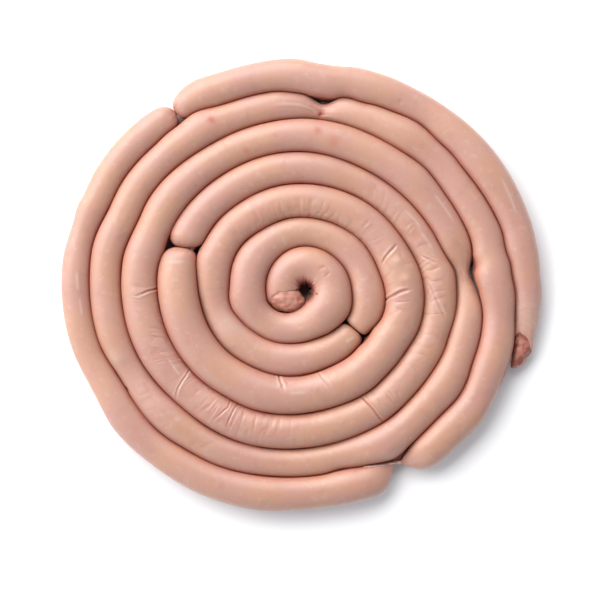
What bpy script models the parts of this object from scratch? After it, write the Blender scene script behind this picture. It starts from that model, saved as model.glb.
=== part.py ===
# String of sausage links laid down as one flat coil.
#
# One long string of seven links.  It starts in the middle of the coil and winds outwards
# for a little over six turns.  Every turn rests against the turn inside it, so the shape
# follows from one rule: the inner edge of a turn is the outer edge of the turn before it.
# Between two links the casing is drawn in to a short twisted strand.  Both ends of the
# string are open, with the filling showing.
#
# Angles are in degrees and keep growing along the string: 0 points to -X, 90 to +Y,
# 180 to +X and 270 to -Y.  Units are metres unless a name says MM.  +Z is up.
import math
from collections import namedtuple

import bpy

MM = 0.001

# A link runs from its first to its last angle, and sizes are its thickness in MM at
# evenly spaced places.
Link = namedtuple("Link", "name first last sizes")
LINKS = (
    Link("link_1", -66.0, 577.0,
         (24.5, 24.5, 24.5, 25.0, 24.5, 25.5, 26.5, 26.0, 24.5, 23.5, 27.0, 22.5, 21.0, 21.5,
          26.0)),
    Link("link_2", 577.0, 1099.0,
         (22.5, 24.5, 22.5, 24.5, 25.0, 24.0, 25.0, 27.0, 29.0, 27.5, 28.0, 29.5)),
    Link("link_3", 1099.0, 1613.0,
         (24.0, 23.5, 20.5, 22.5, 24.5, 25.0, 25.5, 26.5, 26.0, 23.0, 24.5, 22.5)),
    Link("link_4", 1613.0, 1896.0,
         (21.0, 24.5, 20.5, 23.0, 23.0, 23.0, 21.5)),
    Link("link_5", 1896.0, 2042.0,
         (21.5, 22.5, 25.5, 24.0)),
    Link("link_6", 2042.0, 2214.0,
         (23.5, 24.0, 20.5, 21.5)),
    Link("link_7", 2214.0, 2360.0,
         (23.0, 22.5, 24.5, 18.5)),
)

# A twist lies at an angle, between the tips of two links.  Lengths are in MM: the space
# between the tips, the radius of the tips, the radius of the strand of casing, how far the
# tips sit inwards of the middle of the string, and the length over which the link before
# it and the link after it round off.  thin is the share of its thickness that the string
# loses there.
Twist = namedtuple("Twist", "name angle space tip strand inwards thin before after")
TWISTS = (
    Twist("twist_1", 577.0, 1.8, 7.0, 1.5, 0.0, 0.20, 8.0, 10.0),
    Twist("twist_2", 1099.0, 1.8, 7.0, 1.5, 0.0, 0.14, 8.0, 9.0),
    Twist("twist_3", 1613.0, 1.8, 5.0, 1.5, 4.5, 0.33, 10.0, 22.0),
    Twist("twist_4", 1896.0, 1.8, 4.5, 1.5, 4.0, 0.22, 16.0, 12.0),
    Twist("twist_5", 2042.0, 7.5, 1.5, 1.0, 6.0, 0.40, 13.0, 12.0),
    Twist("twist_6", 2214.0, 1.8, 3.0, 1.5, 0.0, 0.12, 10.0, 10.0),
)
THIN_LENGTH = 10.0 * MM

# Over about this many degrees one place's thickness passes into the next.
THICKNESS_SPREAD = 24.0

# The stretch at the outer end of the string that the box round the coil touches.
OUTLINE_DEGREES = 400

# A turn is too stiff to sink into a short hollow of the turn inside it.
STIFF_RADIUS = 70.0 * MM
STIFF_REACH = 15.0 * MM
STIFF_EASE = 6.0 * MM

# Middle of the coil: the first turn bends round a small eye, then widens until it can
# lie against the outside of the open end it started from.
EYE_RADIUS = 3.1 * MM
EYE_GROWTH = 0.030 * MM
EYE_STEADY_TO = 245.0
JOIN_FROM = 247.0
JOIN_TO = 346.0
JOIN_RADIUS = 28.0 * MM

# The open end in the middle is pressed into the room that the next turn leaves for it.
# Its gap to that turn opens over END_EASE degrees.
END_GAP = 2.4 * MM
END_EASE = 40.0
CARRIES_FROM = int(JOIN_TO - 360.0 - LINKS[0].first)

GAP = 0.4 * MM
HEIGHT_OVER_WIDTH = 0.92
SAG = 0.14 * MM
LONGEST_STEP = 9.0
TIP_STEPS = 4
STRAND_SIDES = 8
STRAND_START = (0.3 * MM, 0.7 * MM)
SHIFT_LENGTH = 18.0 * MM

# An end of a link: the angle where it stops, the length over which it rounds off, the
# radius of its tip, and how far the tip sits inwards of the middle of the string.
End = namedtuple("End", "limit rounding tip inwards")
INNER_END = End(LINKS[0].first, 6.0 * MM, 5.0 * MM, 0.0)
OUTER_END = End(LINKS[-1].last, 22.0 * MM, 3.5 * MM, 4.0 * MM)

# Section of a link in units of half its width: pressed flat where it lies on the table.
SECTION = (
    (0.42, -1.00), (-0.42, -1.00), (-0.86, -0.66), (-1.00, -0.02), (-0.85, 0.64),
    (-0.36, 1.00), (0.36, 1.00), (0.85, 0.64), (1.00, -0.02), (0.86, -0.66),
)

CASING_COLOUR = (0.74, 0.50, 0.44, 1.0)
STRAND_COLOUR = (0.70, 0.44, 0.40, 1.0)


def smoothstep(value):
    value = min(max(value, 0.0), 1.0)
    return value * value * (3.0 - 2.0 * value)


def thickness_places():
    """Angle and thickness of every place named in LINKS, in order along the string."""
    places = []
    for link in LINKS:
        step = (link.last - link.first) / len(link.sizes)
        for index, size in enumerate(link.sizes):
            places.append((link.first + step * (index + 0.5), size * MM))
    return places


def thickness(angle, places):
    """Thickness at an angle: a soft average of the places close by."""
    total = 0.0
    weight_sum = 0.0
    for place, size in places:
        away = abs(angle - place) / THICKNESS_SPREAD
        if away < 4.0:
            weight = math.exp(-away * away)
            total += weight * size
            weight_sum += weight
    return total / weight_sum


def eye_radius(angle):
    """Inner edge of the first turn, which has no turn inside it."""
    radius = EYE_RADIUS + EYE_GROWTH * min(max(angle, 0.0), EYE_STEADY_TO)
    join = smoothstep((angle - JOIN_FROM) / (JOIN_TO - JOIN_FROM))
    return radius + (JOIN_RADIUS - radius) * join


def end_room(angle, near):
    """Room for the open end in the middle, before the next turn."""
    opened = smoothstep((JOIN_TO - 360.0 - angle) / END_EASE)
    return eye_radius(angle + 360.0) - near - END_GAP * opened


def bridged_radius(outer, index):
    """Outer edge as a stiff turn feels it: it spans a short hollow between two rises.

    The round tip of the open end in the middle is too low to carry anything.
    """
    index = max(index, CARRIES_FROM)
    middle = outer[index]
    reach = max(2, int(math.degrees(STIFF_REACH / middle)))
    rest = middle
    for offset in range(1, reach + 1):
        if index - offset >= CARRIES_FROM and index + offset < len(outer):
            away = math.radians(offset) * middle
            span = 0.5 * (outer[index - offset] + outer[index + offset])
            rest = max(rest, span - away * away / (2.0 * STIFF_RADIUS))
    return rest


def resting_radius(outer, index):
    """Inner edge of a turn that lies against the outer edge of the turn inside it."""
    reach = max(1, int(math.degrees(STIFF_EASE / outer[index])))
    total = 0.0
    for offset in range(-reach, reach + 1):
        total += bridged_radius(outer, index + offset)
    return total / (2 * reach + 1)


def wind_string():
    """Inner and outer radius of the string for every whole degree along it."""
    places = thickness_places()
    first = int(LINKS[0].first)
    last = int(LINKS[-1].last)
    inner = []
    outer = []
    for angle in range(first, last + 1):
        if angle < JOIN_TO:
            near = eye_radius(angle)
        else:
            near = resting_radius(outer, angle - 360 - first)
        wide = thickness(angle, places)
        if angle + 360.0 < JOIN_TO:
            wide = min(wide, end_room(angle, near))
        middle = near + 0.5 * wide
        for twist in TWISTS:
            away = math.radians(angle - twist.angle) * middle / THIN_LENGTH
            wide *= 1.0 - twist.thin * math.exp(-away * away)
        inner.append(near)
        outer.append(near + wide)
    return first, inner, outer


FIRST_DEGREE, INNER, OUTER = wind_string()


def on_table(table, angle):
    place = min(max(angle - FIRST_DEGREE, 0.0), len(table) - 1.001)
    low = int(place)
    part = place - low
    return table[low] * (1.0 - part) + table[low + 1] * part


def middle_radius(angle):
    return 0.5 * (on_table(INNER, angle) + on_table(OUTER, angle))


def half_width(angle):
    """Half the thickness square to the string, which leans a little as it winds out."""
    half = 0.5 * (on_table(OUTER, angle) - on_table(INNER, angle) - GAP)
    growth = (middle_radius(angle + 3.0) - middle_radius(angle - 3.0)) / math.radians(6.0)
    return half * math.cos(math.atan2(growth, middle_radius(angle)))


def spot(angle, radius):
    turn = math.radians(angle)
    return (-radius * math.cos(turn), radius * math.sin(turn))


def outline_centre():
    """Middle of the box round the last turn, so that the coil can sit on the origin."""
    xs = []
    ys = []
    last = int(LINKS[-1].last)
    for angle in range(last - OUTLINE_DEGREES, last + 1):
        x, y = spot(angle, middle_radius(angle) + half_width(angle))
        xs.append(x)
        ys.append(y)
    return (0.5 * (min(xs) + max(xs)), 0.5 * (min(ys) + max(ys)))


CENTRE = outline_centre()


def angle_after(angle, distance):
    """Angle reached by walking a distance along the middle of the string."""
    left = abs(distance)
    way = 1.0 if distance > 0.0 else -1.0
    while left > 0.0:
        step = min(left, 0.5 * MM)
        angle += way * math.degrees(step / middle_radius(angle))
        left -= step
    return angle


def end_stations(end, way):
    """Stations from the tip of a link to its full width: angle and share of the width."""
    full = half_width(angle_after(end.limit, way * end.rounding))
    start = math.asin(min(end.tip / full, 1.0))
    stations = []
    for step in range(TIP_STEPS + 1):
        turn = start + (0.5 * math.pi - start) * step / TIP_STEPS
        along = end.rounding * (math.cos(start) - math.cos(turn))
        stations.append((angle_after(end.limit, way * along), math.sin(turn)))
    return stations


def link_stations(head, tail):
    """All stations of a link: close together where it bends tightly or rounds off."""
    front = end_stations(head, 1.0)
    back = end_stations(tail, -1.0)
    stations = list(front)
    angle = front[-1][0]
    stop = back[-1][0]
    while True:
        step = min(math.degrees(math.sqrt(8.0 * SAG / middle_radius(angle))), LONGEST_STEP)
        if angle + 1.4 * step > stop:
            break
        angle += step
        stations.append((angle, 1.0))
    return stations + list(reversed(back))


def inward_shift(angle, end):
    """How far an end of a link bends inwards towards its twist."""
    away = abs(math.radians(angle - end.limit)) * middle_radius(angle)
    return end.inwards * (1.0 - smoothstep(away / SHIFT_LENGTH))


def path_point(station, head, tail):
    """Point of the centre line, with the width that the section is scaled to there."""
    angle, share = station
    shift = inward_shift(angle, head) + inward_shift(angle, tail)
    x, y = spot(angle, middle_radius(angle) - shift)
    wide = half_width(angle)
    place = (x - CENTRE[0], y - CENTRE[1], HEIGHT_OVER_WIDTH * wide)
    return place, min(wide * share, wide - shift)


def make_material(name, colour, roughness):
    material = bpy.data.materials.new(name)
    material.use_nodes = True
    shader = material.node_tree.nodes["Principled BSDF"]
    shader.inputs["Base Color"].default_value = colour
    shader.inputs["Roughness"].default_value = roughness
    material.diffuse_color = colour
    return material


def make_curve(name, points, collection):
    curve = bpy.data.curves.new(name, "CURVE")
    curve.dimensions = "3D"
    curve.twist_mode = "Z_UP"
    spline = curve.splines.new("POLY")
    spline.points.add(len(points) - 1)
    for target, (place, radius) in zip(spline.points, points):
        target.co = (place[0], place[1], place[2], 1.0)
        target.radius = radius
    item = bpy.data.objects.new(name, curve)
    collection.objects.link(item)
    return item


def make_section(name, corners, collection):
    curve = bpy.data.curves.new(name, "CURVE")
    curve.dimensions = "2D"
    spline = curve.splines.new("POLY")
    spline.points.add(len(corners) - 1)
    for target, (x, y) in zip(spline.points, corners):
        target.co = (x, y, 0.0, 1.0)
    spline.use_cyclic_u = True
    item = bpy.data.objects.new(name, curve)
    item.hide_render = True
    item.display_type = "WIRE"
    collection.objects.link(item)
    return item


def sweep(item, section, material):
    item.data.bevel_mode = "OBJECT"
    item.data.bevel_object = section
    item.data.use_fill_caps = True
    item.data.materials.append(material)


def link_ends(index):
    """The two ends of a link: open ends of the string, or tips at a twist."""
    head = INNER_END
    tail = OUTER_END
    if index > 0:
        twist = TWISTS[index - 1]
        limit = angle_after(twist.angle, 0.5 * twist.space * MM)
        head = End(limit, twist.after * MM, twist.tip * MM, twist.inwards * MM)
    if index < len(LINKS) - 1:
        twist = TWISTS[index]
        limit = angle_after(twist.angle, -0.5 * twist.space * MM)
        tail = End(limit, twist.before * MM, twist.tip * MM, twist.inwards * MM)
    return head, tail


def beyond(back, tip):
    """Two points past the tip of a link, straight on: where a strand starts and bends."""
    away = math.dist(back, tip)
    way = [(b - a) / away for a, b in zip(back, tip)]
    return [tuple(t + w * distance for t, w in zip(tip, way)) for distance in STRAND_START]


def main():
    for item in list(bpy.data.objects):
        bpy.data.objects.remove(item, do_unlink=True)

    parts = bpy.data.collections.new("sausage_link_string")
    guides = bpy.data.collections.new("guides")
    bpy.context.scene.collection.children.link(parts)
    bpy.context.scene.collection.children.link(guides)

    section = make_section("link_section", [(x, HEIGHT_OVER_WIDTH * y) for x, y in SECTION],
                           guides)
    ring = []
    for side in range(STRAND_SIDES):
        turn = -2.0 * math.pi * side / STRAND_SIDES
        ring.append((math.cos(turn), math.sin(turn)))
    strand_section = make_section("strand_section", ring, guides)

    tips = []
    for index, link in enumerate(LINKS):
        head, tail = link_ends(index)
        points = [path_point(station, head, tail) for station in link_stations(head, tail)]
        item = make_curve(link.name, points, parts)
        sweep(item, section, make_material(link.name + "_casing", CASING_COLOUR, 0.35))
        tips.append((beyond(points[1][0], points[0][0]), beyond(points[-2][0], points[-1][0])))

    for index, twist in enumerate(TWISTS):
        radius = twist.strand * MM
        start = tips[index][1]
        stop = tips[index + 1][0]
        points = [(place, radius) for place in (*start, *reversed(stop))]
        item = make_curve(twist.name, points, parts)
        sweep(item, strand_section, make_material(twist.name + "_casing", STRAND_COLOUR, 0.45))


main()
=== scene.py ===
# Looks of a string of sausage links that lies as one flat coil.
#
# The string winds outwards from an open end in the middle.  Each link is one lofted skin
# that follows the same winding rule as the CAD model: the inner edge of a turn is the
# outer edge of the turn before it.  Creases, pleats and swellings are moved into the
# mesh, and colour that belongs to one place, such as a red mark, is kept in a mesh
# attribute that the material reads, along with painted shade in grooves, creases and gaps
# and painted highlights on folds and streaks.
#
# Angles are in degrees and keep growing along the string: 0 points to -X, 90 to +Y,
# 180 to +X and 270 to -Y.  A section angle of 0 is the outer side of a turn, 90 its top,
# 180 its inner side and 270 its underside.  Units are metres unless a name says MM.
import math
from collections import namedtuple

import bpy
import numpy as np
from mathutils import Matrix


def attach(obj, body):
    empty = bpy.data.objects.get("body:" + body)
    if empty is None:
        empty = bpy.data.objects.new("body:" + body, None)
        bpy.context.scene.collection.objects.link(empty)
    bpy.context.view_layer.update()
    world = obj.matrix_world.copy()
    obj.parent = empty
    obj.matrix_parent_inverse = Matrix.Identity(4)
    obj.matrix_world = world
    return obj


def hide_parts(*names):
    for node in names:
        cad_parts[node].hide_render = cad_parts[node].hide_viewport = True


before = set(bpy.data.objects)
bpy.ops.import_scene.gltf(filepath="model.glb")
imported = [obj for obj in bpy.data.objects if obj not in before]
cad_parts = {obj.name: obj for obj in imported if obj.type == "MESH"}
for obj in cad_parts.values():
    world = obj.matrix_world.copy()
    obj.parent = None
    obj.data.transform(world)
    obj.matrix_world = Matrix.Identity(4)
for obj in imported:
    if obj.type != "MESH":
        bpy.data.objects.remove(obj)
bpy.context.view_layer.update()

MM = 0.001

# ---------------------------------------------------------------- the winding rule

Link = namedtuple("Link", "name first last sizes")
LINKS = (
    Link("link_1", -66.0, 577.0,
         (24.5, 24.5, 24.5, 25.0, 24.5, 25.5, 26.5, 26.0, 24.5, 23.5, 27.0, 22.5, 21.0, 21.5,
          26.0)),
    Link("link_2", 577.0, 1099.0,
         (22.5, 24.5, 22.5, 24.5, 25.0, 24.0, 25.0, 27.0, 29.0, 27.5, 28.0, 29.5)),
    Link("link_3", 1099.0, 1613.0,
         (24.0, 23.5, 20.5, 22.5, 24.5, 25.0, 25.5, 26.5, 26.0, 23.0, 24.5, 22.5)),
    Link("link_4", 1613.0, 1896.0,
         (21.0, 24.5, 20.5, 23.0, 23.0, 23.0, 21.5)),
    Link("link_5", 1896.0, 2042.0,
         (21.5, 22.5, 25.5, 24.0)),
    Link("link_6", 2042.0, 2214.0,
         (23.5, 24.0, 20.5, 21.5)),
    Link("link_7", 2214.0, 2360.0,
         (23.0, 22.5, 24.5, 18.5)),
)

# thin is the share of its thickness that the string loses at a twist.
Thinning = namedtuple("Thinning", "angle thin")
THINNINGS = (
    Thinning(577.0, 0.20), Thinning(1099.0, 0.14), Thinning(1613.0, 0.33),
    Thinning(1896.0, 0.22), Thinning(2042.0, 0.40), Thinning(2214.0, 0.12),
)
THIN_LENGTH = 10.0 * MM
THICKNESS_SPREAD = 24.0
STIFF_RADIUS = 70.0 * MM
STIFF_REACH = 15.0 * MM
STIFF_EASE = 6.0 * MM
EYE_RADIUS = 3.1 * MM
EYE_GROWTH = 0.030 * MM
EYE_STEADY_TO = 245.0
JOIN_FROM = 247.0
JOIN_TO = 346.0
JOIN_RADIUS = 28.0 * MM
END_GAP = 2.4 * MM
END_EASE = 40.0
CARRIES_FROM = int(JOIN_TO - 360.0 - LINKS[0].first)
OUTLINE_DEGREES = 400
HEIGHT_OVER_WIDTH = 0.92


def smoothstep(value):
    value = np.clip(value, 0.0, 1.0)
    return value * value * (3.0 - 2.0 * value)


def string_thickness(angles):
    """Thickness at each angle: a soft average of the places close by."""
    total = np.zeros(len(angles))
    weights = np.zeros(len(angles))
    for link in LINKS:
        step = (link.last - link.first) / len(link.sizes)
        for index, size in enumerate(link.sizes):
            away = (angles - link.first - step * (index + 0.5)) / THICKNESS_SPREAD
            weight = np.where(np.abs(away) < 4.0, np.exp(-away * away), 0.0)
            total += weight * size * MM
            weights += weight
    return total / weights


def eye_radius(angle):
    """Inner edge of the first turn, which has no turn inside it."""
    radius = EYE_RADIUS + EYE_GROWTH * min(max(angle, 0.0), EYE_STEADY_TO)
    join = smoothstep((angle - JOIN_FROM) / (JOIN_TO - JOIN_FROM))
    return radius + (JOIN_RADIUS - radius) * join


def end_room(angle, near):
    """Room for the open end in the middle, before the next turn."""
    opened = smoothstep((JOIN_TO - 360.0 - angle) / END_EASE)
    return eye_radius(angle + 360.0) - near - END_GAP * opened


def bridged_radius(outer, index):
    """Outer edge as a stiff turn feels it: it spans a short hollow between two rises."""
    index = max(index, CARRIES_FROM)
    middle = outer[index]
    reach = max(2, int(math.degrees(STIFF_REACH / middle)))
    rest = middle
    for offset in range(1, reach + 1):
        if index - offset >= CARRIES_FROM and index + offset < len(outer):
            away = math.radians(offset) * middle
            span = 0.5 * (outer[index - offset] + outer[index + offset])
            rest = max(rest, span - away * away / (2.0 * STIFF_RADIUS))
    return rest


def resting_radius(outer, index):
    """Inner edge of a turn that lies against the outer edge of the turn inside it."""
    reach = max(1, int(math.degrees(STIFF_EASE / outer[index])))
    near = [bridged_radius(outer, index + offset) for offset in range(-reach, reach + 1)]
    return sum(near) / len(near)


def wind_string():
    """Inner and outer radius of the string for every whole degree along it."""
    degrees = np.arange(int(LINKS[0].first), int(LINKS[-1].last) + 1)
    thickness = string_thickness(degrees)
    inner = []
    outer = []
    for index, angle in enumerate(degrees):
        if angle < JOIN_TO:
            near = eye_radius(angle)
        else:
            near = resting_radius(outer, index - 360)
        wide = thickness[index]
        if angle + 360.0 < JOIN_TO:
            wide = min(wide, end_room(angle, near))
        middle = near + 0.5 * wide
        for spot in THINNINGS:
            away = math.radians(angle - spot.angle) * middle / THIN_LENGTH
            wide *= 1.0 - spot.thin * math.exp(-away * away)
        inner.append(near)
        outer.append(near + wide)
    return degrees, np.array(inner), np.array(outer)


# Places where the outer edge of the string lies off the winding rule: how far out it is
# moved, and over what length.  Both are in MM.
Nudge = namedtuple("Nudge", "angle out length")
NUDGES = (
    Nudge(206.0, 1.5, 7.0), Nudge(316.0, -1.3, 10.0), Nudge(350.0, 2.8, 8.0),
    Nudge(500.0, 0.9, 16.0), Nudge(580.0, 1.5, 7.0), Nudge(664.0, -1.1, 14.0),
    Nudge(737.0, 1.8, 8.0), Nudge(893.0, 1.3, 20.0), Nudge(1026.0, -1.2, 14.0),
    Nudge(1100.0, 2.3, 10.0), Nudge(1253.0, 2.2, 8.0), Nudge(1260.0, 1.8, 14.0),
    Nudge(1278.0, -1.4, 10.0), Nudge(1396.0, -1.7, 30.0), Nudge(1455.0, 1.4, 14.0),
    Nudge(1575.0, 1.9, 16.0), Nudge(1611.5, 2.4, 7.0), Nudge(1619.0, -3.2, 12.0),
    Nudge(1654.0, 2.8, 14.0), Nudge(1682.0, 2.8, 11.0), Nudge(1698.0, -1.6, 9.0),
    Nudge(1746.0, -1.2, 18.0), Nudge(1774.0, -3.2, 18.0), Nudge(1815.0, 2.2, 16.0),
    Nudge(1858.0, 3.4, 13.0), Nudge(1894.0, -2.8, 16.0), Nudge(1925.0, 2.6, 16.0),
    Nudge(1986.0, -2.4, 18.0), Nudge(2015.0, 2.8, 20.0), Nudge(2082.0, 1.2, 25.0),
    Nudge(2110.0, -1.9, 30.0), Nudge(2134.0, -3.0, 26.0), Nudge(2180.0, 1.5, 8.0),
    Nudge(2222.0, 2.2, 14.0), Nudge(2258.0, -1.2, 30.0), Nudge(2303.0, 1.3, 45.0),
    Nudge(2331.0, 2.6, 20.0), Nudge(2345.0, -1.8, 10.0), Nudge(2352.0, -4.6, 15.0),
    Nudge(2360.0, -3.0, 12.0), Nudge(1648.0, 0.8, 8.0), Nudge(1764.0, -1.1, 16.0),
    Nudge(1849.0, 1.0, 8.0), Nudge(1887.0, -0.9, 8.0), Nudge(1907.0, -1.5, 9.0),
    Nudge(1937.0, 1.1, 10.0), Nudge(1974.0, 0.9, 14.0),
)
# The next turn spans the hollows that are shorter than this.
NUDGE_BLUR = 9.0 * MM
# The skin of the first turn swells into the eye, to this share of its radius.
EYE_SWELL = 0.78
# How far a turn sinks in to touch the turn inside it.
SINK = 0.45 * MM


def nudged_by(angles, middle):
    """How far out the outer edge is moved."""
    moved = np.zeros(len(angles))
    for nudge in NUDGES:
        away = np.radians(angles - nudge.angle) * middle / (nudge.length * MM)
        moved += nudge.out * MM * np.exp(-away * away)
    return moved


# Tables of the string at a fine step: radii, half width, and length walked along it.
FINE_STEP = 0.1
FINE_BLUR = 7


def blurred(values, space, reach):
    """Soft average of values that lie one space apart."""
    wide = int(3.0 * reach / space)
    window = np.exp(-0.5 * (np.arange(-wide, wide + 1) * space / reach) ** 2)
    window /= window.sum()
    return np.convolve(np.pad(values, wide, mode="edge"), window, mode="valid")


def fine_tables():
    degrees, inner, outer = wind_string()
    angles = np.arange(degrees[0] - 8.0, degrees[-1] + 8.0, FINE_STEP)
    window = np.hanning(2 * FINE_BLUR + 3)[1:-1]
    window /= window.sum()

    def fine(table):
        values = np.interp(angles, degrees, table)
        return np.convolve(np.pad(values, FINE_BLUR, mode="edge"), window, mode="valid")

    inner = fine(inner)
    outer = fine(outer)
    middle = 0.5 * (inner + outer)
    moved = nudged_by(angles, middle)
    outer = outer + moved
    space = math.radians(FINE_STEP) * float(np.mean(middle[angles > JOIN_TO]))
    spanned = np.maximum(moved, blurred(moved, space, NUDGE_BLUR))
    follows = inner + np.interp(angles - 360.0, angles, spanned)
    inside = np.interp(angles - 360.0, angles, outer)
    touching = follows + np.maximum(inside - follows, -SINK)
    swollen = inner * (EYE_SWELL + (1.0 - EYE_SWELL) * smoothstep((angles - 230.0) / 80.0))
    inner = np.where(angles > JOIN_TO, touching, swollen)
    middle = 0.5 * (inner + outer)
    growth = np.gradient(middle, np.radians(angles))
    speed = np.hypot(middle, growth) * math.radians(FINE_STEP)
    walked = np.concatenate([[0.0], np.cumsum(0.5 * (speed[1:] + speed[:-1]))])
    half = 0.5 * (outer - inner)
    return angles, middle, half, half * np.cos(np.arctan2(growth, middle)), walked


# HALF is half the thickness along the radius and SQUARE is half of it square to the string.
ANGLES, MIDDLE, HALF, SQUARE, WALKED = fine_tables()

CREST_STEP = 0.5 * MM
CREST_BLUR = 9.0 * MM
CREST_LEAST = 0.7


def smoothed(values):
    """Soft average along the string."""
    steps = np.arange(WALKED[0], WALKED[-1], CREST_STEP)
    level = np.interp(steps, WALKED, values)
    return np.interp(WALKED, steps, blurred(level, CREST_STEP, CREST_BLUR))


# The crest of the string runs smoothly, while its two edges give way to their neighbours.
AWAY = np.clip(smoothed(MIDDLE) - MIDDLE, -(1.0 - CREST_LEAST) * HALF, (1.0 - CREST_LEAST) * HALF)
CREST = MIDDLE + AWAY
INNER_HALF = HALF + AWAY
OUTER_HALF = HALF - AWAY
RISE = smoothed(SQUARE)


def outline_centre():
    """Middle of the box round the last turn, which is the origin of the part."""
    last = ANGLES <= LINKS[-1].last
    last &= ANGLES >= LINKS[-1].last - OUTLINE_DEGREES
    reach = MIDDLE[last] + SQUARE[last]
    turn = np.radians(ANGLES[last])
    xs = -reach * np.cos(turn)
    ys = reach * np.sin(turn)
    return np.array([0.5 * (xs.min() + xs.max()), 0.5 * (ys.min() + ys.max())])


CENTRE = outline_centre()


def walked_at(angle):
    return np.interp(angle, ANGLES, WALKED)


def angle_at(walked):
    return np.interp(walked, WALKED, ANGLES)


# ---------------------------------------------------------------- ends of the links

# An end of a link: the angle of its tip, the length over which it narrows, how blunt it
# is (2 is an ellipse, more is blunter, SOFT is a smooth waist), and the radius of its neck.
# inwards is where the neck lies: 0 on the middle of the string, 1 against its inner edge.
# skew is how much further along the string the end reaches on its outer side than in the
# middle, as a share of the way out.  pleats and reach are the depth and length of the
# lengthwise folds that run into the twist, and red is painted shade at its tip.  Lengths are in MM.
SOFT = 0.0
SOFT_OVERLAP = 2.0 * MM
End = namedtuple("End", "angle rounding blunt neck inwards skew pleats reach red")
TAILS = {
    "link_1": End(578.1, 6.8, 3.5, 0.8, 0.0, 0.03, 0.06, 5.0, 0.15),
    "link_2": End(1099.0, 10.5, 2.7, 1.2, 0.0, -0.19, 0.14, 6.0, 0.35),
    "link_3": End(1612.6, 10.0, SOFT, 6.9, 0.1, 0.0, 0.16, 10.0, 0.10),
    "link_4": End(1895.6, 14.0, SOFT, 5.9, 1.0, 0.30, 0.10, 9.0, 0.45),
    "link_5": End(2040.5, 27.0, 2.3, 0.9, 0.15, 0.0, 0.16, 9.0, 0.10),
    "link_6": End(2214.0, 9.5, 2.2, 1.6, 0.0, 0.0, 0.12, 6.0, 0.55),
}
HEADS = {
    "link_2": End(578.1, 8.0, 3.1, 0.8, 0.0, 0.03, 0.06, 5.0, 0.10),
    "link_3": End(1099.0, 10.5, 2.4, 1.2, 0.0, -0.19, 0.16, 6.0, 0.35),
    "link_4": End(1612.6, 16.0, SOFT, 6.9, 0.1, 0.0, 0.10, 14.0, 0.05),
    "link_5": End(1895.6, 12.0, SOFT, 5.9, 1.0, 0.30, 0.10, 9.0, 0.30),
    "link_6": End(2042.3, 24.0, 2.3, 1.0, 0.9, 0.0, 0.14, 7.0, 0.10),
    "link_7": End(2214.0, 9.0, 2.3, 1.6, 0.0, 0.0, 0.12, 6.0, 0.55),
}
OUTER_END = End(2360.6, 24.0, 2.0, 1.0, 0.5, 0.0, 0.0, 1.0, 0.0)

# ---------------------------------------------------------------- skin

AROUND_TOP = 60
AROUND_UNDER = 22
RING_SPACE = 1.1 * MM
FINE_RING_SPACE = 0.55 * MM
LEAST_RING_SPACE = 0.06 * MM
TOP_SQUARENESS = 2.25
UNDER_SQUARENESS = 3.0
TOUCH = 0.22 * MM
DOME_RINGS = 24


def section_angles():
    """Section angles of a ring, closer together on the upper side."""
    top = np.linspace(0.0, 180.0, AROUND_TOP, endpoint=False)
    under = np.linspace(180.0, 360.0, AROUND_UNDER, endpoint=False)
    return np.concatenate([top, under])


SECTION_ANGLES = section_angles()


def section_shape(angles):
    """Across and up for each section angle, each from -1 to 1."""
    across = np.cos(np.radians(angles))
    up = np.sin(np.radians(angles))
    power = 2.0 / np.where(up >= 0.0, TOP_SQUARENESS, UNDER_SQUARENESS)
    return np.sign(across) * np.abs(across) ** power, np.sign(up) * np.abs(up) ** power


def end_share(away, end, full):
    """Share of the full width at a distance from the tip of a link."""
    neck = min(end.neck * MM / full, 0.97)
    along = np.clip(1.0 - away / (end.rounding * MM), 0.0, 1.0)
    if end.blunt == SOFT:
        beyond = np.clip(-away / SOFT_OVERLAP, 0.0, 1.0)
        return (1.0 - (1.0 - neck) * smoothstep(along)) * (1.0 - 0.5 * beyond * beyond)
    left = along * (1.0 - neck ** end.blunt) ** (1.0 / end.blunt)
    return (1.0 - left ** end.blunt) ** (1.0 / end.blunt)


def noise(points, size, seed):
    """Smooth noise from -1 to 1 whose hills are about one size apart."""
    table = np.random.default_rng(seed).random(4096) * 2.0 - 1.0
    cell = points / size
    base = np.floor(cell).astype(np.int64)
    part = cell - base
    part = part * part * (3.0 - 2.0 * part)
    total = np.zeros(points.shape[:-1])
    for corner in range(8):
        step = np.array([(corner >> axis) & 1 for axis in range(3)])
        index = base + step
        key = index[..., 0] * 73856093
        key = key ^ (index[..., 1] * 19349663)
        key = key ^ (index[..., 2] * 83492791)
        weight = np.prod(np.where(step == 1, part, 1.0 - part), axis=-1)
        total += weight * table[key & 4095]
    return total
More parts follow.
